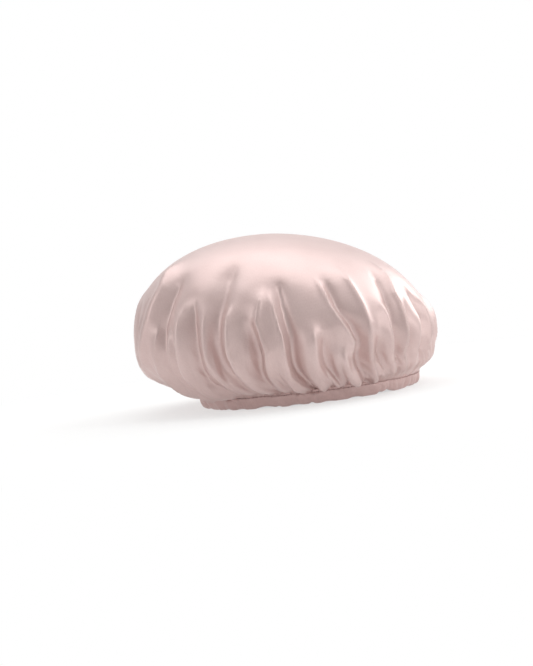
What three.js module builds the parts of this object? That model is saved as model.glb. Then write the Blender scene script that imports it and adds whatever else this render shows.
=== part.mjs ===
// A gathered silk sleep bonnet. Two round cuts of silk, an outer crown and a lining, are drawn up by a
// gathering thread and sewn into the mouth of a folded silk casing. A flat elastic loop lies in the casing
// and closes it round the head. Millimetres, +Z up, with the origin at the middle of the head opening, on the
// plane that the rim stands on. The front is -Y.
import * as THREE from "three";

// Driving dimensions, in millimetres unless the comment says otherwise.
const SEAM_RADIUS = 79; // the gathered seam at the casing's mouth, at rest: on a head it stretches
const BAND_SLANT = 20; // degrees that the casing leans in, from its mouth down to its rim
const SEAM_ALLOWANCE = 4; // how far the gathered cloth reaches into the casing
const CLOTH = 0.4; // one layer of silk satin
const THREAD = 0.4; // diameter of the sewing thread
const CLEARANCE = 0.3; // between layers that lie against each other
const ELASTIC_WIDTH = 5;
const ELASTIC_THICKNESS = 0.8;
const ELASTIC_LAP = 20; // overlap of the elastic's two ends
const STITCH_LENGTH = 3.5;
const STITCH_RISE = 0.3; // how far a stitch stands off between its ends
const ZIGZAG_WIDTH = 3; // of the stitches that join the strips' ends
const CROWN_RADIUS = 107; // the crown at its widest, between ridge and valley of its folds
const CROWN_RISE = 109; // from the seam to the top of the crown
const WAIST_RISE = 35; // from the seam to the crown's widest level
const CROWN_SHIFT = 14; // how far the full crown lies to the left of the seam's middle
const LINING_EASE = 1.1; // between the crown and the lining inside it
const HEM_WAVE = 1.6; // rise of the puckers along the rim
const REST_CUT = 0.5; // depth of the flats that the rim stands on

// Shape of the cloth, in plain numbers and counts.
const CROWN_FULLNESS = 2.2; // 2 gives an ellipse, more gives squarer shoulders
const CROWN_LEAN = 0.105; // slope of the crown, higher on the left
const FOLDS = 16; // broad folds that climb the crown, each two gathers wide
const FOLD_SWING = 0.1; // radians by which a fold may leave an even spacing
const FOLD_VARIETY = 0.3; // share by which a fold may be shallower or deeper than the mean
const HEM_VARIETY = 0.4; // the same for the rim's puckers
const GATHER_SHARE = 0.75; // share of the slack cloth that the gathers take near the seam
const SEGMENTS = 4 * FOLDS; // faces round the cloth: four to a broad fold, two to a gather
const DOME_ANGLES = [90, 72, 54, 36, 18, 0]; // degrees above the widest level at which the crown has its rows
const PUFF_ANGLES = [30, 60]; // the same below it, where the crown turns in to the seam
const BACK = Math.PI; // where the ends of strips and threads meet, half a turn from the front

// Across the casing: what lies between its two walls sets how far apart they stand.
const lapStep = ELASTIC_THICKNESS + CLEARANCE;
const lapStack = ELASTIC_THICKNESS + lapStep + THREAD + 3 * CLEARANCE;
const clothStack = 2 * CLOTH + THREAD + 4 * CLEARANCE;
const channelHalf = Math.max(lapStack, clothStack) / 2;
const wallHalf = channelHalf + CLOTH;
const gatherAcross = channelHalf - CLEARANCE - THREAD / 2;
const crownAcross = gatherAcross - THREAD / 2 - CLEARANCE;
const liningAcross = crownAcross - CLOTH - CLEARANCE;
const elasticAcross = -channelHalf + CLEARANCE + ELASTIC_THICKNESS / 2;
const threadOff = wallHalf + CLEARANCE + THREAD / 2;

// Up the casing, along its slant: the folded floor, the elastic, then the edges of the gathered cloth.
const slant = THREE.MathUtils.degToRad(BAND_SLANT);
const rimCorner = wallHalf * Math.tan(slant);
const floorUp = rimCorner + CLOTH;
const elasticUp = floorUp + 2 * CLEARANCE;
const edgeUp = elasticUp + ELASTIC_WIDTH + 2 * CLEARANCE;
const bandWidth = edgeUp + SEAM_ALLOWANCE;
const seamUp = bandWidth - SEAM_ALLOWANCE / 2;
const gatherUp = (edgeUp + seamUp) / 2;
const mouthHeight = bandWidth * Math.cos(slant);
const waistHeight = mouthHeight + WAIST_RISE;
const stitches = Math.round((2 * Math.PI * SEAM_RADIUS) / STITCH_LENGTH);

// A step in the band's section, up along the slant and across it, as a step in radius and height.
function bandStep(up, across) {
  return new THREE.Vector2(
    up * Math.sin(slant) + across * Math.cos(slant),
    up * Math.cos(slant) - across * Math.sin(slant),
  );
}

// A point of the band as radius and height. Up starts at the rim, and across at the middle of the channel.
function bandPoint(up, across) {
  return bandStep(up, across).add(new THREE.Vector2(SEAM_RADIUS - bandWidth * Math.sin(slant), 0));
}

function pointAt(turn, section) {
  return new THREE.Vector3(section.x * Math.sin(turn), -section.x * Math.cos(turn), section.y);
}

// A slow unevenness round the band, from -1 to 1, with so many waves in a turn.
function sway(turn, waves) {
  return Math.sin(waves * turn + waves);
}

// Puckers of the band: the rim rises between short flats and swells in and out. Both fade towards the seam.
function puckered(section, turn) {
  const depth = THREE.MathUtils.clamp(1 - section.y / mouthHeight, 0, 1);
  const height = HEM_WAVE * (1 + HEM_VARIETY * sway(turn, 5));
  const rise = Math.max(0, (height / 2) * (1 + Math.cos(FOLDS * turn + Math.PI / 4)) - REST_CUT);
  const swell = (HEM_WAVE / 2) * sway(turn, 8);
  return new THREE.Vector2(section.x + depth * swell, section.y + depth * rise);
}

// A path along the band. For t from 0 to 1, place gives the turn from the front, and up and across the band.
class BandCurve extends THREE.Curve {
  constructor(place) {
    super();
    this.place = place;
  }
  getPoint(t) {
    const { turn, up, across } = this.place(t);
    return pointAt(turn, bandPoint(up, across));
  }
  getUtoTmapping(u) {
    return u;
  }
}

// A strip or thread along a path in the band, puckered with it. The section's points are steps up and across.
function bandStrip(section, place, steps) {
  const shape = new THREE.Shape(
    section.map(([up, across]) => {
      const step = bandStep(up, across);
      return new THREE.Vector2(-step.y, -step.x);
    }),
  );
  const extrudePath = new BandCurve(place);
  const geometry = new THREE.ExtrudeGeometry(shape, { extrudePath, steps, bevelEnabled: false });
  const position = geometry.getAttribute("position");
  for (let i = 0; i < position.count; i++) {
    const [x, y, z] = [position.getX(i), position.getY(i), position.getZ(i)];
    const turn = Math.atan2(x, -y);
    const moved = pointAt(turn, puckered(new THREE.Vector2(Math.hypot(x, y), z), turn));
    position.setXYZ(i, moved.x, moved.y, moved.z);
  }
  return geometry;
}

// One turn of the band that starts and ends at the back, with a clearance between its ends.
function onceRound(t) {
  const slit = CLEARANCE / SEAM_RADIUS;
  return THREE.MathUtils.lerp(BACK + slit / 2, BACK + 2 * Math.PI - slit / 2, t);
}

const threadSection = [0, 1, 2].map((corner) => {
  const angle = (corner * 2 * Math.PI) / 3;
  return [(THREAD / 2) * Math.cos(angle), (THREAD / 2) * Math.sin(angle)];
});

// A point of a rounded arch so many degrees up it, as shares of its reach and its rise.
function archShares(degrees) {
  const angle = THREE.MathUtils.degToRad(degrees);
  const power = 2 / CROWN_FULLNESS;
  return { out: degrees === 90 ? 0 : Math.cos(angle) ** power, up: Math.sin(angle) ** power };
}

// One face of a crown, from the top of its dome to its edge in the casing, as radius and height.
function meridian(inset, across) {
  const radius = CROWN_RADIUS - inset;
  const rise = CROWN_RISE - WAIST_RISE - inset;
  const mouth = bandPoint(bandWidth + 3 * CLEARANCE, across);
  const dome = DOME_ANGLES.map(archShares).map(
    ({ out, up }) => new THREE.Vector2(radius * out, waistHeight + rise * up),
  );
  const puff = PUFF_ANGLES.map(archShares).map(
    ({ out, up }) =>
      new THREE.Vector2(
        THREE.MathUtils.lerp(mouth.x, radius, out),
        THREE.MathUtils.lerp(waistHeight, mouth.y + inset, up),
      ),
  );
  return [...dome, ...puff, mouth, bandPoint(edgeUp, across)];
}

// How the cloth of each row lies: which way its folds stand, how deep they are, and its share of the shift to
// the left. The round cut is wider than the crown there, and folds take up the slack. Near the seam most of it
// is in gathers, drawn tighter the closer they come to it. Further up they join into broad folds.
function clothRows(rows) {
  const mouth = rows.length - 2;
  let cutRadius = 0;
  return rows.map((row, i) => {
    cutRadius += i ? row.distanceTo(rows[i - 1]) : 0;
    const free = i > 0 && i < mouth;
    const shift = i < DOME_ANGLES.length ? 1 : THREE.MathUtils.smoothstep(row.x, rows[mouth].x, CROWN_RADIUS);
    const slack = free ? shift * Math.sqrt(Math.max(0, cutRadius / row.x - 1)) : 0;
    const down = free ? rows[i + 1].clone().sub(rows[i - 1]).normalize() : new THREE.Vector2(1, 0);
    const low = 1 - THREE.MathUtils.smoothstep(row.y, mouthHeight + WAIST_RISE / 2, waistHeight + WAIST_RISE);
    const gathers = GATHER_SHARE * low;
    return {
      outward: new THREE.Vector2(-down.y, down.x),
      broad: (row.x / FOLDS) * slack * Math.sqrt(1 - gathers ** 2),
      gather: (row.x / FOLDS) * slack * gathers,
      shift,
    };
  });
}

// Splits the quads of the inner face along the same diagonal as the outer face's, which the lathe draws the
// other way round, so that folded cloth keeps its thickness.
function matchDiagonals(index, quadsDown, innerQuads) {
  for (let quad = 0; quad < index.count / 6; quad++) {
    if (quad % quadsDown < innerQuads) {
      const [a, b, d, c] = [0, 1, 2, 3].map((corner) => index.getX(6 * quad + corner));
      [a, b, c, a, c, d].forEach((vertex, corner) => index.setX(6 * quad + corner, vertex));
    }
  }
}

// A crown of cloth: a thin dome, open at the casing and drawn into folds.
function crown(inset, across) {
  const outer = meridian(inset, across);
  const inner = meridian(inset + CLOTH, across - CLOTH);
  const profile = [...inner, ...outer.toReversed()];
  const rows = clothRows(meridian(0, crownAcross));
  const cloth = [...rows, ...rows.toReversed()];
  const geometry = new THREE.LatheGeometry(profile, SEGMENTS);
  matchDiagonals(geometry.index, profile.length - 1, inner.length);
  const position = geometry.getAttribute("position");
  for (let i = 0; i < position.count; i++) {
    const column = Math.floor(i / profile.length) % SEGMENTS;
    const row = i % profile.length;
    const even = (column * 2 * Math.PI) / SEGMENTS;
    const turn = even + (FOLD_SWING / 2) * (sway(even, 3) + sway(even, 7));
    const { x, y } = puckered(profile[row], turn);
    const quarter = (column * Math.PI) / 2;
    const wave = 2 * Math.abs(Math.cos(quarter / 2)) - 1;
    const uneven = 1 + FOLD_VARIETY * sway(even, 4);
    const { outward, broad, gather, shift } = cloth[row];
    const fold = broad * uneven * wave - gather * Math.cos(2 * quarter);
    const radius = x + outward.x * fold;
    const lean = CROWN_LEAN * THREE.MathUtils.smoothstep(y, mouthHeight, waistHeight + WAIST_RISE);
    const height = y + outward.y * fold - lean * radius * Math.sin(turn);
    const moved = pointAt(turn, new THREE.Vector2(radius, height));
    position.setXYZ(i, moved.x - shift * CROWN_SHIFT, moved.y, moved.z);
  }
  return geometry;
}

// The folded silk strip: two walls on a floor, open at the top, its two ends meeting at the back.
function casing() {
  const middle = bandWidth / 2;
  const section = [
    [rimCorner, wallHalf],
    [middle, wallHalf],
    [bandWidth, wallHalf],
    [bandWidth, channelHalf],
    [middle, channelHalf],
    [floorUp, channelHalf],
    [floorUp, -channelHalf],
    [middle, -channelHalf],
    [bandWidth, -channelHalf],
    [bandWidth, -wallHalf],
    [middle, -wallHalf],
    [-rimCorner, -wallHalf],
  ];
  return bandStrip(section, (t) => ({ turn: onceRound(t), up: 0, across: 0 }), SEGMENTS);
}

// The elastic goes once round and laps over its own start, one thickness and a clearance further out.
function elasticPlace(turn) {
  return { turn, up: elasticUp, across: elasticAcross + (lapStep * (turn - BACK)) / (2 * Math.PI) };
}

const lapTurn = ELASTIC_LAP / (SEAM_RADIUS - (bandWidth - elasticUp) * Math.sin(slant));

function elastic() {
  const half = ELASTIC_THICKNESS / 2;
  const section = [
    [0, -half],
    [0, half],
    [ELASTIC_WIDTH, half],
    [ELASTIC_WIDTH, -half],
  ];
  const whole = 2 * Math.PI + lapTurn;
  const steps = Math.round((SEGMENTS * whole) / (2 * Math.PI));
  return bandStrip(section, (t) => elasticPlace(BACK + whole * t), steps);
}

// A zigzag along the lap of the elastic, on its outer face.
function elasticJoin() {
  const count = Math.max(2, Math.round(ELASTIC_LAP / STITCH_LENGTH) - 1);
  const span = (lapTurn * count * STITCH_LENGTH) / ELASTIC_LAP;
  const first = BACK + 2 * Math.PI + (lapTurn - span) / 2;
  const place = (t) => {
    const { turn, up, across } = elasticPlace(first + span * t);
    return {
      turn,
      up: up + ELASTIC_WIDTH / 2 + (ZIGZAG_WIDTH / 2) * Math.sin(2 * Math.PI * count * t),
      across: across + ELASTIC_THICKNESS / 2 + CLEARANCE + THREAD / 2,
    };
  };
  return bandStrip(threadSection, place, 8 * count);
}

// A zigzag up the inside of the casing, across the slit between its ends.
function casingJoin() {
  const [low, high] = [floorUp, seamUp - THREAD - 2 * CLEARANCE];
  const count = Math.max(2, Math.round((high - low) / STITCH_LENGTH));
  const swing = ZIGZAG_WIDTH / 2 / SEAM_RADIUS;
  const place = (t) => ({
    turn: BACK + swing * Math.sin(2 * Math.PI * count * t),
    up: THREE.MathUtils.lerp(low, high, t),
    across: -threadOff,
  });
  return bandStrip(threadSection, place, 8 * count);
}

// A row of stitches once round the casing, each a small arch over one of its walls.
function seamThread(side) {
  const place = (t) => ({
    turn: onceRound(t),
    up: seamUp,
    across: side * (threadOff + (STITCH_RISE / 2) * (1 - Math.cos(2 * Math.PI * stitches * t))),
  });
  return bandStrip(threadSection, place, 2 * stitches);
}

// The thread that draws up both crowns, along their edges inside the casing.
function gatheringThread() {
  return bandStrip(
    threadSection,
    (t) => ({ turn: onceRound(t), up: gatherUp, across: gatherAcross }),
    2 * SEGMENTS,
  );
}

const bonnet = new THREE.Group();
function addPiece(name, geometry, color, roughness) {
  const mesh = new THREE.Mesh(geometry, new THREE.MeshStandardMaterial({ color, roughness, metalness: 0 }));
  mesh.name = name;
  bonnet.add(mesh);
}

const PINK_SATIN = 0xcdb0ac;
const PINK_THREAD = 0xc4a29e;
const WHITE_ELASTIC = 0xe9e4df;

addPiece("outer_crown", crown(0, crownAcross), PINK_SATIN, 0.38);
addPiece("lining_crown", crown(CLOTH + LINING_EASE, liningAcross), PINK_SATIN, 0.38);
addPiece("band_casing", casing(), PINK_SATIN, 0.4);
addPiece("elastic_band", elastic(), WHITE_ELASTIC, 0.8);
addPiece("elastic_join_thread", elasticJoin(), PINK_THREAD, 0.6);
addPiece("casing_join_thread", casingJoin(), PINK_THREAD, 0.6);
addPiece("gathering_thread", gatheringThread(), PINK_THREAD, 0.6);
addPiece("seam_needle_thread", seamThread(1), PINK_THREAD, 0.6);
addPiece("seam_bobbin_thread", seamThread(-1), PINK_THREAD, 0.6);

export default bonnet;
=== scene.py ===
"""A gathered satin bonnet: a full round crown and its lining, sewn into an elastic casing."""

import math

import bmesh
import bpy
import numpy as np
from mathutils import Matrix, Vector


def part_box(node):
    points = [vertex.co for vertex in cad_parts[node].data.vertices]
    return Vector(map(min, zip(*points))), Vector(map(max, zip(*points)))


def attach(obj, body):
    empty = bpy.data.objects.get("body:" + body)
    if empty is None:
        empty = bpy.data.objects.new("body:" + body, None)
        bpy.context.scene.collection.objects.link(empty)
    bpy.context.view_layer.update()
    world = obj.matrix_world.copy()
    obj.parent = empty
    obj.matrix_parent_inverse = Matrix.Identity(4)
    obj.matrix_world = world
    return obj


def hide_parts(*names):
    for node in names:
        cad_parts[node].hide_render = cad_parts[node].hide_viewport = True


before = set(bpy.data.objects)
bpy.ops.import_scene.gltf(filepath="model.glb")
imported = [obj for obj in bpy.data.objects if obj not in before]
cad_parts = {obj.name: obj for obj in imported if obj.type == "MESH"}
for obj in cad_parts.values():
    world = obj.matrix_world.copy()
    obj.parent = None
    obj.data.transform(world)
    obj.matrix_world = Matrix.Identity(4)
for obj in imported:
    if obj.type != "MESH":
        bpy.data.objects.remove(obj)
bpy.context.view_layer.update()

MM = 0.001

# The band, as the frame has it. "Up" runs up its slanted width from the rim, and "across" runs
# outwards through it from its middle.
BAND_SLANT = math.radians(20)
HALF_WALL = 2.0 * MM
CLOTH = 0.4 * MM
SEAM_DOWN = 2.0 * MM
STITCH_LENGTH = 3.5 * MM
casing_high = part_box("band_casing")[1]
seam_radius = casing_high.x - HALF_WALL * math.cos(BAND_SLANT)
mouth_height = casing_high.z - HALF_WALL * math.sin(BAND_SLANT)
band_width = mouth_height / math.cos(BAND_SLANT)
seam_up = band_width - SEAM_DOWN
stitch_count = round(2 * math.pi * seam_radius / STITCH_LENGTH)

# The rim's waves and uneven swell, which the elastic in the band follows too.
RIM_WAVES = 16
RIM_WAVE = 1.6 * MM
RIM_VARIETY = 0.4
REST_CUT = 0.5 * MM
RIM_SWELL = 0.8 * MM

# Where the casing droops back down to the table: turn and half width in degrees.
RIM_DROOPS = ((-46, 5), (-66, 6), (17, 5), (55, 6), (100, 8), (150, 7), (215, 9))

# The casing's crumples: the hem's scallops, the waves, small crumples and puckers of its walls, how far
# each stitch pulls them in and reaches, and the ruffle of the edge above the seam. The real strip is cut
# longer than the seam, and the crumples stand for its fullness.
HEM_SCALLOP = 0.9 * MM
WALL_WAVE = 0.6 * MM
WALL_CRUMPLE = 0.35 * MM
WALL_PUCKER = 0.7 * MM
STITCH_PULL = 0.45 * MM
STITCH_REACH = 1.3 * MM
EDGE_RUFFLE = 0.6 * MM

# The crown, gathered from one round cut of satin.
CROWN_RADIUS = 107 * MM
WAIST_RISE = 35 * MM
CROWN_SHIFT = 14 * MM
CROWN_LEAN = 0.085
CROWN_FULLNESS = 2.08
PUFF_FULLNESS = 2.0
PUFF_RADIUS = 82 * MM
PUFF_DIP = 0.8 * MM
TUCK = 4 * MM
EDGE_OUT = 0.6 * MM
WEAVE_PITCH = 2.5 * MM
CROWN_RISE = 109 * MM
waist_height = mouth_height + WAIST_RISE
mouth_radius = seam_radius + EDGE_OUT

# Turns of the gathers' ridges along the front of the seam, in degrees from the front middle.
FRONT_GATHERS = (-90, -75, -61, -48, -37, -28, -20, -11.5, -2.5, 6, 13.5, 22, 31, 37, 46, 54, 65, 76, 88)
BACK_GATHERS = 20

# The folds of the front, from left to right. Each has how far it stands out in millimetres, or goes in
# where that is below zero, its half width in millimetres, and the points of its line from top to bottom
# as turns in degrees and heights above the mouth in millimetres.
FRONT_FOLDS = (
    (1.0, 6, (-90, 70), (-88, 30), (-80, 4)),
    (-3.0, 5, (-82, 62), (-80, 30), (-72, 4)),
    (2.0, 3, (-63, 72), (-65, 54), (-74, 31), (-72, 12)),
    (4.0, 9, (-66, 90), (-58, 72), (-60, 53), (-66, 32)),
    (-4.0, 6, (-50, 80), (-51, 59), (-53, 47)),
    (2.5, 3, (-55, 50), (-58, 22), (-60, 6)),
    (-2.5, 3, (-52, 46), (-53, 20), (-54, 2)),
    (2.5, 3, (-48, 48), (-49, 24), (-50, 4)),
    (-2.5, 3, (-46, 46), (-46, 12), (-46, 0)),
    (4.0, 5, (-42, 58), (-42, 35), (-43, 14), (-40, 2)),
    (-4.0, 4, (-37, 64), (-36, 41), (-36, 26), (-37, 10), (-33, 0)),
    (2.5, 6, (-31, 60), (-31, 30), (-29, 6)),
    (-4.5, 8, (-24, 90), (-25, 65), (-27, 37), (-25, 14), (-23, 0)),
    (4.0, 5, (-21, 60), (-21, 32), (-18, 12), (-18, 2)),
    (-4.5, 4, (-13, 50), (-11, 26), (-13, 10), (-14, 0)),
    (3.5, 4, (-8, 70), (-10, 50), (-7, 30), (-9, 10), (-9, 0)),
    (3.5, 3, (-5, 68), (-2, 38), (-2, 17), (-4, 0)),
    (-5.5, 4, (-1, 76), (2, 41), (2, 19), (2, 0)),
    (3.5, 6, (10, 46), (9, 20), (8, 2)),
    (-3.5, 4, (14, 40), (14, 15), (15, 0)),
    (4.0, 3, (16, 78), (18, 56), (21, 43), (24, 32)),
    (3.0, 5, (20, 26), (21, 4)),
    (-5.0, 4, (20, 78), (22, 57), (26, 44), (28, 31), (27, 14), (26, 0)),
    (3.5, 4, (30, 84), (31, 62), (32, 43), (32, 14), (31, 0)),
    (-3.0, 4, (36, 34), (37, 14), (37, 0)),
    (2.5, 6, (41, 60), (41, 30), (41, 4)),
    (-4.0, 4, (50, 80), (46, 57), (45, 40), (46, 18), (45, 0)),
    (4.0, 3, (59, 86), (52, 63), (51, 46), (50, 25), (48, 4)),
    (-2.5, 4, (58, 62), (55, 40), (54, 20), (52, 0)),
    (1.8, 4, (62, 48), (60, 36), (59, 18), (57, 2)),
    (-3.5, 4, (68, 70), (66, 43), (63, 27), (62, 0)),
    (2.6, 4, (72, 60), (70, 28), (68, 13), (68, 0)),
    (-2.0, 5, (78, 44), (76, 20), (74, 0)),
    (2.0, 5, (86, 60), (84, 20), (82, 0)),
)
BACK_FOLDS = 20

# The satin's face: its roughness varies with the grain, and part of its shine takes the dye's colour.
SATIN_ROUGHNESS = (0.33, 0.45)
SATIN_METALLIC = 0.4
SATIN_SPECULAR = 0.8

# The light: each lamp's name, place and size in metres, and power in watts. The surround is dimmest in
# front of the bonnet and brightest on the light side, and SURROUND_FACING is where it starts and ends
# to change, as the cosine of the angle to that side.
LAMPS = (
    ("overhead", (0.1, 0.3, 1.1), (1.5, 1.1), 8),
    ("back_right", (0.9, 0.7, 0.5), (0.8, 0.6), 4.5),
    ("strip_left", (-0.9, -0.45, 0.5), (0.35, 0.9), 1.7),
    ("strip_right", (0.95, -0.5, 0.5), (0.35, 0.9), 2.4),
)
LAMP_TARGET = (0, 0, 0.06)
SURROUND = (0.3, 0.7)
SURROUND_FACING = (-0.6, 0.8)
LIGHT_SIDE = (0.25, 0.65, 0.7)

# How the cloth is draped. It is worked at ten times its size, where the solver holds it best. The holds
# keep it near its sewn shape, more at the sides than on top, and its edge is fast in the seam.
DRAPE_SCALE = 10
DRAPE_STEPS = 50
GATHER_STEPS = 25
SIDE_HOLD = 0.8
TOP_HOLD = 0.6
HOLD_CHANGE = 40 * MM
HOLD_OVER = 60 * MM
SEWN_FAST = 0.5 * MM
AIR_INSIDE = 1.5
WEIGHT_SHARE = 0.3
STIFFNESS = 6
SQUEEZE = 4

# The sewn shape's gathers and folds. More cloth is drawn to the front than to the back. The gathers are
# full near the seam and fade above it, and all folds begin within MOUTH_FADE of the mouth.
FRONT_EASE = 0.25
GATHER_DEPTH = 0.6
GATHER_FULL = 8 * MM
GATHER_FADE = 24 * MM
MOUTH_FADE = 9 * MM
FOLD_FADE = 16
FOLD_CREST = 1.6

# Low down, the folds are flatter over the seam and flatter still under the two ends of the crown, where
# the cloth is lifted too. One puff at the left of the front droops.
END_FLATNESS = 0.9
END_GATHERS = 0.37
END_HEIGHT = 28 * MM
END_LIFT = 4 * MM
SEAM_FLATNESS = 0.75
SEAM_HEIGHT = 24 * MM
DROOP = 7 * MM
DROOP_TURN = math.radians(-50)
DROOP_WIDTH = math.radians(13)
DROOP_FULL = 10 * MM
DROOP_FADE = 22 * MM
LIFT_FADE = 8 * MM

# How the draped cloth is evened and its folds are deepened, and where the weave is made finer for their
# creases. The lining is evened further and lies a gap inside the crown.
EVEN_PASSES = 4
FOLD_PASSES = 26
FOLD_SHARPNESS = 0.7
FINE_REACH = 100 * MM
FINE_TURN = math.radians(100)
FINE_PASSES = 2
LINING_PASSES = 8
LINING_GAP = 1.2 * MM
SATIN_THICKNESS = 0.3 * MM

# The crisp lines of the folds, as shares of the folds' depth and width.
CREASE_SHARE = 0.75
CREASE_LIMIT = 2.2 * MM
CREASE_WIDTH = 0.45
CREASE_CREST = 1.0
CREASE_FADE = 25 * MM

# The fine creases: depth in millimetres, number round half the crown, how far they wander, how many
# patches they come in, and how far they run across the cloth on the way up. CREASE_LEVEL is the mean of
# their wave, so they leave the cloth where it was. Between them the cloth has a slow uneven swell.
FINE_CREASE_FADE = 5 * MM
FINE_CREASE_REACH = 75 * MM
CREASE_LEVEL = 0.64
SWELL = 0.5 * MM
SWELL_FADE = 20 * MM
SWELL_REACH = 130 * MM
FINE_CREASES = (
    (1.0, 44, 2.0, 9, 25),
    (0.8, 63, 2.5, 13, -35),
    (0.5, 97, 3.0, 17, 45),
)


def linear(code):
    """An sRGB hex colour as the linear colour that Blender's sockets take."""
    parts = [int(code[i:i + 2], 16) / 255 for i in (0, 2, 4)]
    return [p / 12.92 if p <= 0.04045 else ((p + 0.055) / 1.055) ** 2.4 for p in parts] + [1]


def add(tree, kind, links=None, values=None, **settings):
    """Adds a node with its own settings, the values of its sockets, and links into them."""
    made = tree.nodes.new("ShaderNode" + kind)
    for name, value in settings.items():
        setattr(made, name, value)
    for socket, value in (values or {}).items():
        made.inputs[socket].default_value = value
    for socket, source in (links or {}).items():
        tree.links.new(source, made.inputs[socket])
    return made


def empty_material(name):
    """A named material with nothing in it, and its node tree."""
    made = bpy.data.materials.new(name)
    made.use_nodes = True
    made.node_tree.nodes.clear()
    return made, made.node_tree


def smoothstep(x):
    x = np.clip(x, 0, 1)
    return x * x * (3 - 2 * x)


def turn_between(turn, middle):
    """How far a turn is from another, the short way round."""
    return (turn - middle + math.pi) % (2 * math.pi) - math.pi


def points_of(mesh):
    """A mesh's points as rows of x, y, z."""
    flat = np.empty(len(mesh.vertices) * 3)
    mesh.vertices.foreach_get("co", flat)
    return flat.reshape(-1, 3)


def set_points(mesh, points):
    mesh.vertices.foreach_set("co", points.ravel())
    mesh.update()


def to_mesh(bm, name):
    """The shape as a mesh, which ends the work on it."""
    made = bpy.data.meshes.new(name)
    bm.to_mesh(made)
    bm.free()
    return made


def piece(name, mesh, material, slot, *nodes):
    """A finished piece, smooth and in its material, that rides on the bonnet and stands for CAD nodes."""
    made = bpy.data.objects.new(name, mesh)
    bpy.context.scene.collection.objects.link(made)
    mesh.polygons.foreach_set("use_smooth", [True] * len(mesh.polygons))
    mesh.materials.clear()
    mesh.materials.append(material)
    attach(made, "root")
    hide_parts(*nodes)
    return made


def thicken(cloth, thickness):
    """Gives a sheet its thickness, half to each side."""
    wall = cloth.modifiers.new("cloth thickness", "SOLIDIFY")
    wall.thickness = thickness
    wall.offset = 0


def satin(name, light, dark, uv_name):
    """Silk charmeuse satin: long floats of thread lie side by side on its face, so it shines in soft
    streaks along the folds, and up close it has a fine dry grain. Threads 0.1 mm apart are too fine
    to show, so the grain is drawn at 0.7 mm and the weft's lines at 1.1 mm."""
    grain, weft_gap, cloud = 0.7, 1.1, 30
    made, tree = empty_material(name)
    cut = add(tree, "UVMap", uv_map=uv_name)
    in_mm = add(tree, "Mapping", {"Vector": cut.outputs["UV"]}, {"Scale": (1000, 1000, 1000)})
    along = add(tree, "Mapping", {"Vector": in_mm.outputs["Vector"]}, {"Scale": (1, 0.35, 1)})
    slub = add(tree, "TexNoise", {"Vector": along.outputs["Vector"]},
               {"Scale": 1 / grain, "Detail": 3, "Roughness": 0.65})
    patches = add(tree, "TexNoise", {"Vector": in_mm.outputs["Vector"]},
                  {"Scale": 1 / cloud, "Detail": 3, "Roughness": 0.55})
    weft = add(tree, "TexWave", {"Vector": in_mm.outputs["Vector"]},
               {"Scale": 0.314 / weft_gap, "Distortion": 1.5, "Detail": 2, "Detail Scale": 1.5},
               wave_type="BANDS", bands_direction="Y")
    both = add(tree, "Math", {0: slub.outputs["Fac"], 1: patches.outputs["Fac"]}, operation="ADD")
    spread = add(tree, "MapRange", {"Value": both.outputs[0]}, {"From Min": 0.65, "From Max": 1.35})
    colour_mix = add(tree, "Mix", {"Factor": spread.outputs["Result"]}, data_type="RGBA")
    colour_mix.inputs["A"].default_value = linear(dark)
    colour_mix.inputs["B"].default_value = linear(light)
    gloss = add(tree, "MapRange", {"Value": slub.outputs["Fac"]},
                {"From Min": 0.25, "From Max": 0.75,
                 "To Min": SATIN_ROUGHNESS[0], "To Max": SATIN_ROUGHNESS[1]})
    woven = add(tree, "Math", {0: slub.outputs["Fac"], 1: weft.outputs["Fac"]}, operation="ADD")
    relief = add(tree, "Bump", {"Height": woven.outputs[0]}, {"Strength": 0.25, "Distance": 0.1 * MM})
    floats = add(tree, "Tangent", direction_type="UV_MAP", uv_map=uv_name)
    cloth = add(tree, "BsdfPrincipled",
                {"Base Color": colour_mix.outputs["Result"], "Roughness": gloss.outputs["Result"],
                 "Normal": relief.outputs["Normal"], "Tangent": floats.outputs["Tangent"]},
                {"Metallic": SATIN_METALLIC, "Anisotropic": 0.3, "IOR": 1.54,
                 "Specular IOR Level": SATIN_SPECULAR, "Sheen Weight": 0.2, "Sheen Roughness": 0.35,
                 "Sheen Tint": linear("f6e6e3")})
    add(tree, "OutputMaterial", {"Surface": cloth.outputs["BSDF"]})
    return made


def spun_thread():
    """Spun polyester thread: two plies twisted together, soft and matt, with painted shade in the grooves
    between the plies. A ply's turn of 0.4 mm is too fine to show, so the twist is drawn at 0.7 mm."""
    twist_gap = 0.7
    made, tree = empty_material("spun_polyester_thread")
    place = add(tree, "TexCoord")
    in_mm = add(tree, "Mapping", {"Vector": place.outputs["Object"]}, {"Scale": (1000, 1000, 1000)})
    twist = add(tree, "TexWave", {"Vector": in_mm.outputs["Vector"]},
                {"Scale": 0.314 / twist_gap, "Distortion": 2, "Detail": 2},
                wave_type="BANDS", bands_direction="DIAGONAL")
    # Painted shade: the colour is darker where the twist's bump is low, in the grooves between the plies.
    colour_mix = add(tree, "Mix", {"Factor": twist.outputs["Fac"]}, data_type="RGBA")
    colour_mix.inputs["A"].default_value = linear("a98683")
    colour_mix.inputs["B"].default_value = linear("cbaba7")
    relief = add(tree, "Bump", {"Height": twist.outputs["Fac"]}, {"Strength": 0.5, "Distance": 0.08 * MM})
    thread = add(tree, "BsdfPrincipled",
                 {"Base Color": colour_mix.outputs["Result"], "Normal": relief.outputs["Normal"]},
                 {"Roughness": 0.65, "Sheen Weight": 0.3, "Sheen Roughness": 0.5})
    add(tree, "OutputMaterial", {"Surface": thread.outputs["BSDF"]})
    return made


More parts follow.
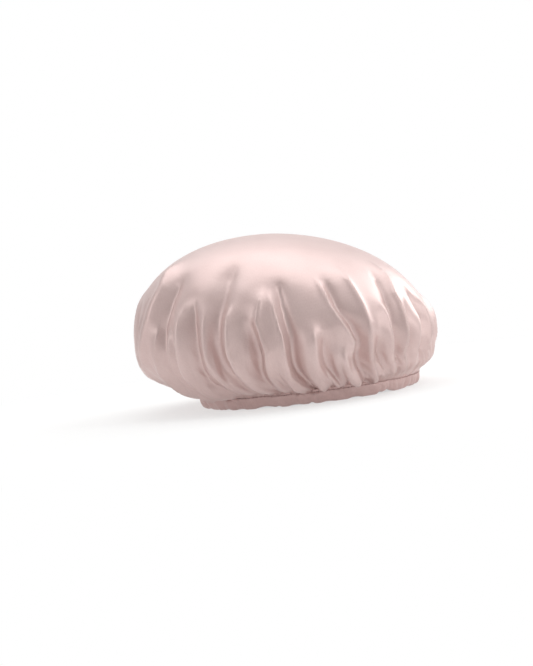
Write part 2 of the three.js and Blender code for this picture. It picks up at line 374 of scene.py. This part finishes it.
def knitted_elastic():
    """Knitted elastic: rubber yarn under a white polyester knit, matt, with ribs along the band."""
    rib, loop = 1.0, 0.8
    made, tree = empty_material("knitted_elastic")
    place = add(tree, "TexCoord")
    in_mm = add(tree, "Mapping", {"Vector": place.outputs["Object"]}, {"Scale": (1000, 1000, 1000)})
    ribs = add(tree, "TexWave", {"Vector": in_mm.outputs["Vector"]},
               {"Scale": 0.314 / rib, "Distortion": 0.4, "Detail": 1},
               wave_type="BANDS", bands_direction="Z")
    loops = add(tree, "TexVoronoi", {"Vector": in_mm.outputs["Vector"]}, {"Scale": 1 / loop})
    # Painted shade: the knit's colour is darker between the ribs, where their bump is low.
    tone = add(tree, "Mix", {"Factor": ribs.outputs["Fac"]}, data_type="RGBA")
    tone.inputs["A"].default_value = linear("d8d2cc")
    tone.inputs["B"].default_value = linear("f1ede8")
    height = add(tree, "Math", {0: ribs.outputs["Fac"], 1: loops.outputs["Distance"]}, operation="ADD")
    relief = add(tree, "Bump", {"Height": height.outputs[0]}, {"Strength": 0.6, "Distance": 0.2 * MM})
    knit = add(tree, "BsdfPrincipled",
               {"Base Color": tone.outputs["Result"], "Normal": relief.outputs["Normal"]},
               {"Roughness": 0.8, "Sheen Weight": 0.2, "Sheen Roughness": 0.5})
    add(tree, "OutputMaterial", {"Surface": knit.outputs["BSDF"]})
    return made


def crown_section():
    """The crown's section as radius and height, from its top to its edge in the casing, the distance
    along the cloth to each point, and the number of the widest point."""
    a = np.radians(np.linspace(90, 0, 200))
    dome = np.stack([CROWN_RADIUS * np.cos(a) ** (2 / CROWN_FULLNESS),
                     waist_height + (CROWN_RISE - WAIST_RISE) * np.sin(a) ** (2 / CROWN_FULLNESS)], 1)
    dome[0, 0] = 0
    b = np.radians(np.linspace(0, 90, 120))[1:]
    puff_low = mouth_height - PUFF_DIP
    puff = np.stack([PUFF_RADIUS + (CROWN_RADIUS - PUFF_RADIUS) * np.cos(b) ** (2 / PUFF_FULLNESS),
                     waist_height - (waist_height - puff_low) * np.sin(b) ** (2 / PUFF_FULLNESS)], 1)
    c = np.linspace(0, 1, 20)[1:]
    over = np.stack([PUFF_RADIUS + (mouth_radius - PUFF_RADIUS) * c,
                     puff_low + PUFF_DIP * smoothstep(c)], 1)
    edge = over[-1] - TUCK * np.array([math.sin(BAND_SLANT), math.cos(BAND_SLANT)])
    section = np.concatenate([dome, puff, over, [edge]])
    steps = np.linalg.norm(np.diff(section, axis=0), axis=1)
    return section, np.concatenate([[0], np.cumsum(steps)]), len(dome) - 1


def leaning(r, z, turn, shift):
    """Points of the round crown, moved to the left over the seam and sloped down to the right."""
    slope = CROWN_LEAN * smoothstep((z - mouth_height) / (2 * WAIST_RISE))
    return np.stack([r * np.sin(turn) - shift, -r * np.cos(turn), z - slope * r * np.sin(turn)], 1)


def round_cut(radius, pitch, uv_name):
    """A disc of cloth lying flat, cut round from a square weave. Its UV map is the flat cut in metres."""
    count = round(2 * radius / pitch)
    bm = bmesh.new()
    bmesh.ops.create_grid(bm, x_segments=count, y_segments=count, size=radius)
    bmesh.ops.delete(bm, geom=[v for v in bm.verts if v.co.length > radius], context="VERTS")
    bmesh.ops.delete(bm, geom=[v for v in bm.verts if not v.link_faces], context="VERTS")
    for v in bm.verts:
        if v.is_boundary:
            v.co *= radius / v.co.length
    flat = bm.loops.layers.uv.new(uv_name)
    for face in bm.faces:
        for loop in face.loops:
            loop[flat].uv = (loop.vert.co.x + 0.5, loop.vert.co.y + 0.5)
    return to_mesh(bm, "round_cut")


def gather_phase(turn):
    """How far round the gathers a turn is, where each ridge is one whole wave after the last."""
    steps = np.arange(1, BACK_GATHERS + 1)
    first, last = FRONT_GATHERS[-1], FRONT_GATHERS[0] + 360
    back = first + (last - first) * steps / (BACK_GATHERS + 1) + 2.2 * np.sin(3.1 * steps)
    ridges = np.radians([*FRONT_GATHERS, *back, last])
    waves = 2 * math.pi * np.arange(len(ridges))
    return np.interp((turn - ridges[0]) % (2 * math.pi) + ridges[0], ridges, waves), len(ridges) - 1


def long_folds():
    """Every long fold of the crown: those of the front, and plainer ones at the back, where each that
    stands out is followed by one that goes in."""
    back = []
    for i in range(BACK_FOLDS):
        turn = 94 + 170 * (i + 0.5) / BACK_FOLDS + 1.5 * math.sin(4 * i)
        stands_out = (4 + math.sin(1.7 * i)) * (-1) ** i
        half_width = 4.5
        top = 56 + 24 * math.sin(2.3 * i)
        line = ((turn + 2 * math.sin(3 * i), top), (turn, 0.4 * top), (turn + math.sin(5 * i), 0))
        back.append((stands_out, half_width, *line))
    return [*FRONT_FOLDS, *back]


def shift_at(from_mouth, low_length):
    """How far the crown is moved to the left, which is less the nearer the cloth is to the mouth."""
    return CROWN_SHIFT * smoothstep(from_mouth / (0.75 * low_length))


def cut_places(flat):
    """Where the flat cut's points lie on the plain crown: their turns, their distances along its section,
    and how many times the cloth is gathered there. The cut is off its middle, so both sides reach."""
    section, along, widest = crown_section()
    edge = along[-1]
    shift = shift_at(edge - TUCK - along, edge - TUCK - along[widest])
    ends = []
    for side in (-math.pi / 2, math.pi / 2):
        line = leaning(section[:, 0], section[:, 1], np.full(len(along), side), shift)
        ends.append(np.linalg.norm(np.diff(line, axis=0), axis=1).sum())
    off = (ends[0] - ends[1]) / 2
    x, y = flat[:, 0] - off, flat[:, 1]
    angle = np.arctan2(x, -y)
    distance = np.hypot(x, y)
    reach = np.sqrt(edge ** 2 - (off * np.cos(angle)) ** 2) - off * np.sin(angle)
    s = distance / reach * edge
    r = np.interp(s, along, section[:, 0])
    gathered = distance / np.maximum(r, MM) / (1 + FRONT_EASE * np.cos(angle))
    return angle + FRONT_EASE * np.sin(angle), s, np.maximum(1, gathered)


def fold_moves(turn, s, width, crest):
    """How far the long folds move points of the crown out or in. The folds are this many times their
    width, and a lower crest makes them sharper."""
    section, along, _ = crown_section()
    r = np.interp(s, along, section[:, 0])
    above = (np.interp(s, along, section[:, 1]) - mouth_height) / MM
    moved = np.zeros_like(turn)
    for stands_out, half_width, *line in long_folds():
        turns, heights = np.array(line[::-1], float).T
        middle = np.radians(np.interp(above, heights, turns))
        beside = np.abs(turn_between(turn, middle)) * r / (width * half_width * MM)
        fade = smoothstep((heights[-1] - above) / FOLD_FADE + 0.3)
        fade *= smoothstep((above - heights[0]) / FOLD_FADE + 0.9) if heights[0] > 4 else 1
        moved += stands_out * MM * np.exp(-beside ** crest) * fade
    return moved * smoothstep((along[-1] - TUCK - s) / MOUTH_FADE)


def sewn_shape(flat):
    """The flat cut's points drawn up to the crown's section, with its gathers and folds begun, and how
    far each point is above the mouth and from the mouth along the cloth."""
    section, along, widest = crown_section()
    turn, s, gathered = cut_places(flat)
    r = np.interp(s, along, section[:, 0])
    z = np.interp(s, along, section[:, 1])
    out = np.interp(s, along, -np.gradient(section[:, 1], along))
    rise = np.interp(s, along, np.gradient(section[:, 0], along))
    above = z - mouth_height
    from_mouth = along[-1] - TUCK - s
    low = np.clip(1 - (from_mouth - GATHER_FULL) / GATHER_FADE, 0, 1)
    uneven = 1 + 0.3 * np.sin(5 * turn + 0.6) + 0.2 * np.sin(11 * turn + 2)
    phase, count = gather_phase(turn)
    depth = GATHER_DEPTH * r / count * np.sqrt(gathered ** 2 - 1) * low * uneven
    depth *= 0.12 + 0.88 * smoothstep(from_mouth / MOUTH_FADE)
    under_ends = smoothstep((np.abs(np.sin(turn)) - 0.3) / 0.6) * (1 - smoothstep(above / END_HEIGHT))
    over_seam = 1 - smoothstep(above / SEAM_HEIGHT)
    flatter = np.maximum(END_FLATNESS * under_ends, SEAM_FLATNESS * over_seam)
    moved = fold_moves(turn, s, 1, FOLD_CREST) * (1 - flatter)
    moved += depth * (2 * np.abs(np.cos(phase / 2)) - 1) * (1 - (1 - END_GATHERS) * under_ends)
    away = turn_between(turn, DROOP_TURN) / DROOP_WIDTH
    droop = DROOP * np.exp(-away ** 2) * (1 - smoothstep((from_mouth - DROOP_FULL) / DROOP_FADE))
    lift = (END_LIFT * under_ends - droop) * smoothstep(from_mouth / LIFT_FADE)
    shift = shift_at(from_mouth, along[-1] - TUCK - along[widest])
    return leaning(r + out * moved, z + rise * moved + lift, turn, shift), above, from_mouth


def draped(mesh, sewn_points, above, from_mouth):
    """The flat cut gathered to its sewn shape by a cloth simulation, as a new mesh."""
    set_points(mesh, points_of(mesh) * DRAPE_SCALE)
    cloth = bpy.data.objects.new("gathering", mesh)
    bpy.context.scene.collection.objects.link(cloth)
    cloth.shape_key_add(name="flat")
    sewn = cloth.shape_key_add(name="sewn")
    sewn.data.foreach_set("co", (sewn_points * DRAPE_SCALE).ravel())
    sewn.value = 0
    sewn.keyframe_insert("value", frame=1)
    sewn.value = 1
    sewn.keyframe_insert("value", frame=GATHER_STEPS)
    towards_top = np.clip((above - HOLD_CHANGE) / HOLD_OVER, 0, 1)
    hold = SIDE_HOLD + (TOP_HOLD - SIDE_HOLD) * towards_top
    hold[from_mouth < SEWN_FAST] = 1
    held = cloth.vertex_groups.new(name="hold")
    for i, weight in enumerate(hold):
        held.add([i], float(weight), "REPLACE")
    modifier = cloth.modifiers.new("drape", "CLOTH")
    fabric = modifier.settings
    fabric.quality = 6
    fabric.mass = 0.02
    fabric.tension_stiffness = 15
    fabric.compression_stiffness = SQUEEZE
    fabric.shear_stiffness = 2
    fabric.bending_model = "ANGULAR"
    fabric.bending_stiffness = STIFFNESS
    fabric.tension_damping = fabric.compression_damping = fabric.shear_damping = 5
    fabric.bending_damping = 0.5
    fabric.air_damping = 1
    fabric.vertex_group_mass = "hold"
    fabric.pin_stiffness = 1
    fabric.use_pressure = True
    fabric.uniform_pressure_force = AIR_INSIDE
    fabric.effector_weights.gravity = WEIGHT_SHARE
    modifier.collision_settings.use_collision = False
    modifier.point_cache.frame_start = 1
    modifier.point_cache.frame_end = DRAPE_STEPS
    for step in range(1, DRAPE_STEPS + 1):
        bpy.context.scene.frame_set(step)
    seen = cloth.evaluated_get(bpy.context.evaluated_depsgraph_get())
    made = bpy.data.meshes.new_from_object(seen)
    bpy.data.objects.remove(cloth)
    bpy.context.scene.frame_set(1)
    set_points(made, points_of(made) / DRAPE_SCALE)
    return made


def relax(mesh, passes):
    """Evens out a mesh's points, apart from its edge."""
    bm = bmesh.new()
    bm.from_mesh(mesh)
    inner = [v for v in bm.verts if not v.is_boundary]
    for _ in range(passes):
        bmesh.ops.smooth_vert(bm, verts=inner, factor=0.5,
                              use_axis_x=True, use_axis_y=True, use_axis_z=True)
    bm.to_mesh(mesh)
    bm.free()
    mesh.update()


def sharpen_folds(mesh, passes, share):
    """Deepens a cloth's folds: each point goes further from where so many evening passes would put it."""
    even = mesh.copy()
    relax(even, passes)
    points = points_of(mesh)
    set_points(mesh, points + share * (points - points_of(even)))
    bpy.data.meshes.remove(even)


def flat_cut(mesh, uv_name):
    """The places of a cloth's points on its flat cut, from its UV map."""
    uv = np.empty(len(mesh.loops) * 2)
    mesh.uv_layers[uv_name].data.foreach_get("uv", uv)
    owner = np.empty(len(mesh.loops), int)
    mesh.loops.foreach_get("vertex_index", owner)
    flat = np.empty((len(mesh.vertices), 2))
    flat[owner] = uv.reshape(-1, 2) - 0.5
    return flat


def refine_front(mesh, uv_name):
    """Splits the weave once more over the front and sides, where the folds are crisp."""
    turn, s, _ = cut_places(flat_cut(mesh, uv_name))
    chosen = (np.abs(turn) < FINE_TURN) & (s > crown_section()[1][-1] - FINE_REACH)
    bm = bmesh.new()
    bm.from_mesh(mesh)
    edges = [e for e in bm.edges if all(chosen[v.index] for v in e.verts)]
    bmesh.ops.subdivide_edges(bm, edges=edges, cuts=1, use_grid_fill=True)
    bm.to_mesh(mesh)
    bm.free()
    mesh.update()


def crease(mesh, uv_name):
    """Presses the crisp line of each long fold into the cloth, and between them the fine creases that
    run up from the seam, which come and go in patches."""
    turn, s, _ = cut_places(flat_cut(mesh, uv_name))
    from_mouth = crown_section()[1][-1] - TUCK - s
    depth = CREASE_SHARE * fold_moves(turn, s, CREASE_WIDTH, CREASE_CREST)
    depth = np.clip(depth, -CREASE_LIMIT, CREASE_LIMIT) * smoothstep(from_mouth / CREASE_FADE)
    near = smoothstep(from_mouth / FINE_CREASE_FADE) * (1 - smoothstep(from_mouth / FINE_CREASE_REACH))
    for deep, count, wander, patches, run in FINE_CREASES:
        line = count * turn + wander * np.sin(7 * turn + run * s) + run * s
        patch = smoothstep(0.5 + 0.8 * np.sin(patches * turn + 3 * np.sin(4 * turn + 1) + 2 * run * s))
        depth += deep * MM * near * patch * (np.abs(np.sin(line)) - CREASE_LEVEL)
    swell = np.sin(11 * turn + 30 * s) * np.sin(7 * turn - 55 * s + 1)
    swell += 0.6 * np.sin(17 * turn - 40 * s + 2)
    within = smoothstep(from_mouth / SWELL_FADE) * (1 - smoothstep(from_mouth / SWELL_REACH))
    depth += SWELL * swell * within
    set_points(mesh, points_of(mesh) + normals_of(mesh) * depth[:, None])


def normals_of(mesh):
    flat = np.empty(len(mesh.vertices) * 3, np.float32)
    mesh.vertex_normals.foreach_get("vector", flat)
    return flat.reshape(-1, 3).astype(float)


def laid_inside(mesh, gap):
    """A copy of a cloth that lies at least this gap inside it, with softer folds."""
    made = mesh.copy()
    relax(made, LINING_PASSES)
    outside, inwards, inside = points_of(mesh), -normals_of(mesh), points_of(made)
    depth = np.einsum("ij,ij->i", inside - outside, inwards)
    set_points(made, inside + inwards * np.maximum(gap - depth, 0)[:, None])
    return made


def band_place(turn, up, across):
    """Radius and height of a point of the casing: the plain slanted band, the rim's waves and swell,
    its droops, and the puckers of its two walls, which stand away from the elastic between them."""
    r = seam_radius + (up - band_width) * math.sin(BAND_SLANT) + across * math.cos(BAND_SLANT)
    z = np.maximum(0, up * math.cos(BAND_SLANT) - across * math.sin(BAND_SLANT))
    low = np.clip(1 - z / mouth_height, 0, 1)
    height = RIM_WAVE * (1 + RIM_VARIETY * np.sin(5 * turn + 5)) / 2
    lift = np.maximum(0, height * (1 + np.cos(RIM_WAVES * turn + math.pi / 4)) - REST_CUT)
    droop = np.ones_like(turn)
    for middle, width in RIM_DROOPS:
        away = turn_between(turn, math.radians(middle)) / math.radians(width)
        droop = droop * (1 - np.exp(-away ** 2))
    scallop = 0.5 + 0.5 * np.sin(26 * turn + 3 * np.sin(7 * turn + 1) + 1.5 * np.sin(19 * turn))
    z = z + low * (lift + HEM_SCALLOP * scallop ** 2) * droop
    r = r + low * RIM_SWELL * np.sin(8 * turn + 8)
    side = np.clip(across / HALF_WALL, -1, 1)
    belly = np.sin(math.pi * np.clip(up / seam_up, 0, 1)) ** 0.7
    slow = 0.5 + 0.5 * np.sin(13 * turn + 1.5 * np.sin(4 * turn + 1))
    quick = np.sin(31 * turn + 1.8 * np.sin(5 * turn) + 80 * up) + 0.6 * np.sin(53 * turn + 2 - 60 * up)
    pucker = np.abs(np.sin(27 * turn + 2.5 * np.sin(9 * turn) + 1.5 * np.sin(14 * turn + 2) + 150 * up))
    r = r + side * belly * (WALL_WAVE * slow + WALL_CRUMPLE * quick + WALL_PUCKER * pucker)
    stitched = np.exp(-(((up - seam_up) / STITCH_REACH) ** 2))
    tight = 0.5 + 0.5 * np.cos(stitch_count * turn)
    r = r - side * stitched * STITCH_PULL * tight
    above_seam = np.clip((up - seam_up) / SEAM_DOWN, 0, 1)
    return r + side * above_seam * EDGE_RUFFLE * np.sin(41 * turn + np.sin(6 * turn)), z


def casing_strip(uv_name):
    """The casing: a strip folded in half lengthwise round the elastic, with both cut edges turned in
    at the top. Gives its mesh and the width of the flat strip."""
    turned_in, wall, rounding = 2.5 * MM, HALF_WALL - CLOTH / 2, 0.4 * MM
    steps_round = 5 * stitch_count
    half = [(band_width - turned_in, wall - 1.6 * CLOTH), (band_width - rounding, wall - 1.6 * CLOTH),
            (band_width, wall - 0.8 * CLOTH), (band_width - rounding, wall)]
    straight = np.linspace(band_width - rounding, HALF_WALL, 16)[1:]
    half += [(up, wall) for up in straight]
    bend = np.radians((18, 36, 54, 72))
    half += [(HALF_WALL - HALF_WALL * math.sin(a), wall * math.cos(a)) for a in bend]
    section = [*half, (0, 0), *[(up, -across) for up, across in reversed(half)]]
    bm = bmesh.new()
    row = []
    for up, across in section:
        r = seam_radius + (up - band_width) * math.sin(BAND_SLANT) + across * math.cos(BAND_SLANT)
        row.append(bm.verts.new((0, -r, up * math.cos(BAND_SLANT) - across * math.sin(BAND_SLANT))))
    edges = [bm.edges.new(pair) for pair in zip(row, row[1:])]
    bmesh.ops.spin(bm, geom=row + edges, cent=(0, 0, 0), axis=(0, 0, 1), dvec=(0, 0, 0),
                   angle=2 * math.pi, steps=steps_round, use_merge=True, use_duplicate=False)
    bmesh.ops.recalc_face_normals(bm, faces=bm.faces)
    strip = bm.loops.layers.uv.new(uv_name)
    for face in bm.faces:
        middle = face.calc_center_median()
        face_turn = math.atan2(middle.x, -middle.y)
        for loop in face.loops:
            place = loop.vert.co
            turn = face_turn + math.remainder(math.atan2(place.x, -place.y) - face_turn, 2 * math.pi)
            loop[strip].uv = (turn * seam_radius + 0.5, place.z)
    mesh = to_mesh(bm, "casing")
    points = points_of(mesh)
    turn = np.arctan2(points[:, 0], -points[:, 1])
    r = np.hypot(points[:, 0], points[:, 1]) - seam_radius
    z = points[:, 2] - mouth_height
    up = band_width + r * math.sin(BAND_SLANT) + z * math.cos(BAND_SLANT)
    across = r * math.cos(BAND_SLANT) - z * math.sin(BAND_SLANT)
    r, z = band_place(turn, up, across)
    set_points(mesh, np.stack([r * np.sin(turn), -r * np.cos(turn), z], 1))
    return mesh, float(np.linalg.norm(np.diff(np.array(section), axis=0), axis=1).sum())


def one_stitch():
    """A lock stitch along X: its thread comes up out of the cloth, lies along it and dives again."""
    radius, segments = 0.2 * MM, 6
    stations = ((-0.5, -0.35), (-0.4, 0.05), (-0.2, 0.2), (0.2, 0.2), (0.4, 0.05), (0.5, -0.35))
    bm = bmesh.new()
    bmesh.ops.create_circle(bm, segments=segments, radius=radius, cap_ends=True)
    bmesh.ops.rotate(bm, verts=bm.verts, cent=(0, 0, 0), matrix=Matrix.Rotation(math.pi / 2, 3, "Y"))
    first = stations[0]
    bmesh.ops.translate(bm, verts=bm.verts, vec=(first[0] * STITCH_LENGTH, 0, first[1] * MM))
    end = bm.faces[:][0]
    for (x0, h0), (x1, h1) in zip(stations, stations[1:]):
        grown = bmesh.ops.extrude_face_region(bm, geom=[end], use_keep_orig=x0 == first[0])["geom"]
        moved = [g for g in grown if isinstance(g, bmesh.types.BMVert)]
        bmesh.ops.translate(bm, verts=moved, vec=((x1 - x0) * STITCH_LENGTH, 0, (h1 - h0) * MM))
        end = [g for g in grown if isinstance(g, bmesh.types.BMFace)][0]
    bmesh.ops.recalc_face_normals(bm, faces=bm.faces)
    return to_mesh(bm, "stitch")


def stitch_row(across):
    """A row of stitches once round one face of the casing."""
    stitch = one_stitch()
    outwards = math.copysign(1, across)
    bm = bmesh.new()
    for i in range(stitch_count):
        turn = 2 * math.pi * (i + 0.5) / stitch_count
        r, z = band_place(np.array([turn]), np.array([seam_up]), np.array([across]))
        along = Vector((math.cos(turn), math.sin(turn), 0))
        away = outwards * Vector((math.sin(turn) * math.cos(BAND_SLANT),
                                  -math.cos(turn) * math.cos(BAND_SLANT), -math.sin(BAND_SLANT)))
        place = Matrix((along, away.cross(along), away)).transposed().to_4x4()
        place.translation = (r[0] * math.sin(turn), -r[0] * math.cos(turn), z[0])
        bm.from_mesh(stitch)
        bmesh.ops.transform(bm, matrix=place, verts=bm.verts[:][-len(stitch.vertices):])
    return to_mesh(bm, "stitches")


def soft_box(name, place, size, power):
    """A soft studio lamp that faces the middle of the bonnet."""
    lamp = bpy.data.lights.new(name, "AREA")
    lamp.shape = "RECTANGLE"
    lamp.size, lamp.size_y = size
    lamp.energy = power
    made = bpy.data.objects.new(name, lamp)
    bpy.context.scene.collection.objects.link(made)
    made.location = place
    made.rotation_euler = (Vector(LAMP_TARGET) - Vector(place)).to_track_quat("-Z", "Y").to_euler()


# The crown and its lining.
cut_radius = float(crown_section()[1][-1])
crown_mesh = round_cut(cut_radius, WEAVE_PITCH, "cut")
sewn_points, above_mouth, from_mouth = sewn_shape(points_of(crown_mesh))
crown_mesh = draped(crown_mesh, sewn_points, above_mouth, from_mouth)
relax(crown_mesh, EVEN_PASSES)
sharpen_folds(crown_mesh, FOLD_PASSES, FOLD_SHARPNESS)
refine_front(crown_mesh, "cut")
relax(crown_mesh, FINE_PASSES)
crease(crown_mesh, "cut")
lining_mesh = laid_inside(crown_mesh, LINING_GAP)
crown_satin = satin("silk_charmeuse_dusty_pink", "ddc5c1", "d0b5b1", "cut")
# The casing's satin is the crown's satin in darker colours: painted shade, for the shade under the
# crown's overhanging puffs.
casing_satin = satin("silk_charmeuse_casing_painted_shade", "d6b9b5", "c8a8a4", "strip")
crown = piece("crown_cloth", crown_mesh, crown_satin, "crown_satin", "outer_crown")
lining = piece("lining_cloth", lining_mesh, crown_satin, "lining_satin", "lining_crown")
for cloth in (crown, lining):
    thicken(cloth, SATIN_THICKNESS)

# The casing and its two rows of stitches.
casing_mesh, strip_width = casing_strip("strip")
casing = piece("casing_cloth", casing_mesh, casing_satin, "casing_satin", "band_casing")
thicken(casing, SATIN_THICKNESS)
thread = spun_thread()
piece("needle_stitches", stitch_row(HALF_WALL), thread, "sewing_thread", "seam_needle_thread")
piece("bobbin_stitches", stitch_row(-HALF_WALL), thread, "sewing_thread", "seam_bobbin_thread")

# What keeps its CAD shape: the elastic, and the threads inside the band.
for name in ("gathering_thread", "elastic_join_thread", "casing_join_thread"):
    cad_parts[name].data.materials.clear()
    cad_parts[name].data.materials.append(thread)
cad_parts["elastic_band"].data.materials.clear()
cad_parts["elastic_band"].data.materials.append(knitted_elastic())

# The lamps.
for name, place, size, power in LAMPS:
    soft_box(name, place, size, power)

# The floor: matt white board, which keeps the bonnet's shadow near it and is plain white further off.
# Its plain white grows from NEAR_WHITE to full between two distances from the bonnet's middle.
FLOOR_HALF = 20
NEAR_WHITE = 0.6
SHADOW_FROM, SHADOW_TO = 0.12, 0.4
bm = bmesh.new()
bmesh.ops.create_grid(bm, x_segments=1, y_segments=1, size=FLOOR_HALF)
floor = bpy.data.objects.new("floor", to_mesh(bm, "floor"))
bpy.context.scene.collection.objects.link(floor)
board, tree = empty_material("matt_white_board")
rays = add(tree, "LightPath")
place = add(tree, "TexCoord")
away = add(tree, "VectorMath", {0: place.outputs["Object"]}, operation="LENGTH")
plain = add(tree, "MapRange", {"Value": away.outputs["Value"]},
            {"From Min": SHADOW_FROM, "From Max": SHADOW_TO, "To Min": NEAR_WHITE, "To Max": 1},
            interpolation_type="SMOOTHSTEP")
seen = add(tree, "Math", {0: rays.outputs["Is Camera Ray"], 1: rays.outputs["Is Glossy Ray"]},
           operation="MAXIMUM")
share = add(tree, "Math", {0: seen.outputs[0], 1: plain.outputs["Result"]}, operation="MULTIPLY")
matt = add(tree, "BsdfDiffuse", values={"Color": linear("f7f7f6")})
white = add(tree, "Emission", values={"Color": linear("ffffff"), "Strength": 1})
mixed = add(tree, "MixShader",
            {0: share.outputs[0], 1: matt.outputs["BSDF"], 2: white.outputs["Emission"]})
add(tree, "OutputMaterial", {"Surface": mixed.outputs["Shader"]})
floor.data.materials.append(board)

# The studio: a surround that is bright above and behind the bonnet and dim in front of it, and plain
# white where the camera sees it.
world = bpy.data.worlds.new("white_studio")
bpy.context.scene.world = world
world.use_nodes = True
tree = world.node_tree
tree.nodes.clear()
rays = add(tree, "LightPath")
way = add(tree, "TexCoord")
facing_light = add(tree, "VectorMath", {0: way.outputs["Generated"]}, {1: LIGHT_SIDE},
                   operation="DOT_PRODUCT")
level = add(tree, "MapRange", {"Value": facing_light.outputs["Value"]},
            {"From Min": SURROUND_FACING[0], "From Max": SURROUND_FACING[1],
             "To Min": SURROUND[0], "To Max": SURROUND[1]})
soft = add(tree, "Background", {"Strength": level.outputs["Result"]}, {"Color": linear("ffffff")})
white = add(tree, "Background", values={"Color": linear("ffffff"), "Strength": 1})
mixed = add(tree, "MixShader", {0: rays.outputs["Is Camera Ray"], 1: soft.outputs["Background"],
                                2: white.outputs["Background"]})
add(tree, "OutputWorld", {"Surface": mixed.outputs["Shader"]})

# The camera: a long lens a little above the bonnet, rolled as the photograph is. The middle of the
# seam's ring is at SEAM_PIXEL in its frame.
LENS = 100
SENSOR = 36
DISTANCE = 1.35
ELEVATION = 2.8
ROLL = -6.9
FRAME_WIDE, FRAME_HIGH = 533, 666
SEAM_PIXEL = (309, 380)
pixel = DISTANCE * SENSOR / LENS / FRAME_HIGH
tilted = Matrix.Rotation(math.radians(90 - ELEVATION), 4, "X")
facing = tilted @ Matrix.Rotation(math.radians(ROLL), 4, "Z")
right, upward, back = (facing.col[i].xyz for i in range(3))
aim = (Vector((0, 0, mouth_height)) - right * ((SEAM_PIXEL[0] - FRAME_WIDE / 2) * pixel)
       + upward * ((SEAM_PIXEL[1] - FRAME_HIGH / 2) * pixel))
lens = bpy.data.cameras.new("camera")
lens.lens = LENS
lens.sensor_width = SENSOR
camera = bpy.data.objects.new("camera", lens)
bpy.context.scene.collection.objects.link(camera)
camera.matrix_world = Matrix.Translation(aim + back * DISTANCE) @ facing
bpy.context.scene.camera = camera
bpy.context.scene.view_settings.view_transform = "Standard"
